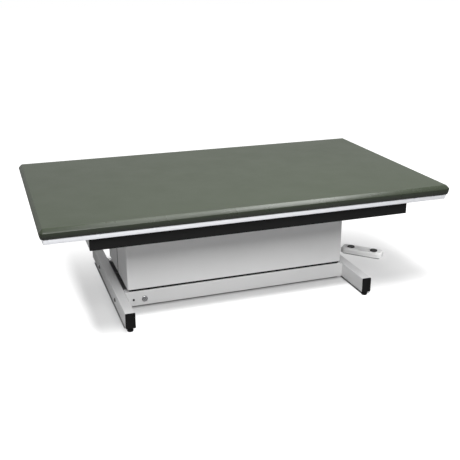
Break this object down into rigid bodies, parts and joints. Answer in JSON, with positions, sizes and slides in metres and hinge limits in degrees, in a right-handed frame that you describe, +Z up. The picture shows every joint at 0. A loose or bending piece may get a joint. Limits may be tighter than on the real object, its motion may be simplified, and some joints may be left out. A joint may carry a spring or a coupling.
{
  "type": "therapy mat platform",
  "caption": "Wide padded therapy mat on a deck over a telescoping pedestal and a tube base with levelling feet; motor-driven columns raise it from a loose foot control.",
  "frame": {"origin": "on the floor, below the middle of the mat", "axes": "+X along the mat's length, +Y from the front (the side with the key lock) to the rear, +Z up"},
  "size_m": [2.134, 1.219, 0.6275],
  "materials": {
    "grey_paint": "satin",
    "silver_paint": "satin",
    "dark_paint": "satin",
    "black_paint": "satin",
    "black_plastic": "matte",
    "pale_plastic": "satin",
    "grey_plastic": "matte",
    "white_laminate": "satin",
    "green_vinyl": "satin",
    "bright_steel": "satin",
    "dark_steel": "satin",
    "cast_metal": "satin",
    "nut_bronze": "satin",
    "board_green": "matte"
  },
  "bodies": {
    "base": {"left_foot_tube": "grey_paint", "right_foot_tube": "grey_paint", "front_base_rail": "grey_paint", "rear_base_rail": "grey_paint", "front_left_foot_cap": "black_plastic", "front_right_foot_cap": "black_plastic", "rear_left_foot_cap": "black_plastic", "rear_right_foot_cap": "black_plastic", "front_left_rail_bolt": "dark_steel", "front_right_rail_bolt": "dark_steel", "rear_left_rail_bolt": "dark_steel", "rear_right_rail_bolt": "dark_steel", "left_column_tray": "grey_paint", "right_column_tray": "grey_paint", "left_gearbox": "cast_metal", "right_gearbox": "cast_metal", "left_motor": "black_paint", "right_motor": "black_paint", "left_outer_column": "grey_paint", "right_outer_column": "grey_paint", "left_glide_collar": "black_plastic", "right_glide_collar": "black_plastic", "lower_shroud_front": "dark_paint", "lower_shroud_rear": "dark_paint", "control_box": "grey_plastic", "power_inlet": "black_plastic", "lock_bezel": "bright_steel"},
    "platform": {"left_inner_column": "bright_steel", "right_inner_column": "bright_steel", "left_spindle_nut": "nut_bronze", "right_spindle_nut": "nut_bronze", "upper_shroud_front": "silver_paint", "upper_shroud_rear": "silver_paint", "front_shroud_angle": "grey_paint", "rear_shroud_angle": "grey_paint", "left_seam_strip": "dark_paint", "right_seam_strip": "dark_paint", "front_top_rail": "black_paint", "rear_top_rail": "black_paint", "left_end_cross_tube": "grey_paint", "right_end_cross_tube": "grey_paint", "left_lift_cross_tube": "grey_paint", "right_lift_cross_tube": "grey_paint", "deck_board": "white_laminate", "mat": "green_vinyl"},
    "left_spindle": {"left_spindle": "bright_steel"},
    "right_spindle": {"right_spindle": "bright_steel"},
    "front_left_leveller": {"front_left_leveller": "black_plastic"},
    "front_right_leveller": {"front_right_leveller": "black_plastic"},
    "rear_left_leveller": {"rear_left_leveller": "black_plastic"},
    "rear_right_leveller": {"rear_right_leveller": "black_plastic"},
    "lock_barrel": {"lock_barrel": "bright_steel"},
    "breaker_button": {"breaker_button": "black_plastic"},
    "foot_control": {"foot_control_shell": "pale_plastic", "foot_control_plate": "black_plastic", "switch_board": "board_green", "foot_control_gland": "black_plastic"},
    "up_button": {"up_button": "black_plastic"},
    "down_button": {"down_button": "black_plastic"}
  },
  "joints": [
    {"name": "deck_lift", "type": "slide", "parent": "base", "child": "platform", "axis": [0, 0, 1], "range_m": [0, 0.254]},
    {"name": "left_spindle_turn", "type": "hinge", "parent": "base", "child": "left_spindle", "pos_m": [-0.38, 0, 0.09], "axis": [0, 0, 1], "range_deg": [-5, 9150]},
    {"name": "right_spindle_turn", "type": "hinge", "parent": "base", "child": "right_spindle", "pos_m": [0.38, 0, 0.09], "axis": [0, 0, 1], "range_deg": [-5, 9150]},
    {"name": "front_left_leveller_height", "type": "slide", "parent": "base", "child": "front_left_leveller", "axis": [0, 0, 1], "range_m": [-0.015, 0]},
    {"name": "front_right_leveller_height", "type": "slide", "parent": "base", "child": "front_right_leveller", "axis": [0, 0, 1], "range_m": [-0.015, 0]},
    {"name": "rear_left_leveller_height", "type": "slide", "parent": "base", "child": "rear_left_leveller", "axis": [0, 0, 1], "range_m": [-0.015, 0]},
    {"name": "rear_right_leveller_height", "type": "slide", "parent": "base", "child": "rear_right_leveller", "axis": [0, 0, 1], "range_m": [-0.015, 0]},
    {"name": "lock_turn", "type": "hinge", "parent": "base", "child": "lock_barrel", "pos_m": [-0.5316, -0.262, 0.05975], "axis": [0, -1, 0], "range_deg": [0, 90]},
    {"name": "breaker_press", "type": "slide", "parent": "base", "child": "breaker_button", "axis": [0, 1, 0], "range_m": [0, 0.0025], "stiffness_N_per_m": 800, "springref_m": -0.002},
    {"name": "foot_control_slide", "type": "slide", "parent": "base", "child": "foot_control", "axis": [1, 0, 0], "range_m": [-0.08, 0.4]},
    {"name": "up_press", "type": "slide", "parent": "foot_control", "child": "up_button", "axis": [0, 0, -1], "range_m": [0, 0.004], "stiffness_N_per_m": 600, "springref_m": -0.003},
    {"name": "down_press", "type": "slide", "parent": "foot_control", "child": "down_button", "axis": [0, 0, -1], "range_m": [0, 0.004], "stiffness_N_per_m": 600, "springref_m": -0.003}
  ],
  "couplings": [
    {"joint": "left_spindle_turn", "follows": "deck_lift", "rad_per_m": 628.32},
    {"joint": "right_spindle_turn", "follows": "deck_lift", "rad_per_m": 628.32}
  ]
}
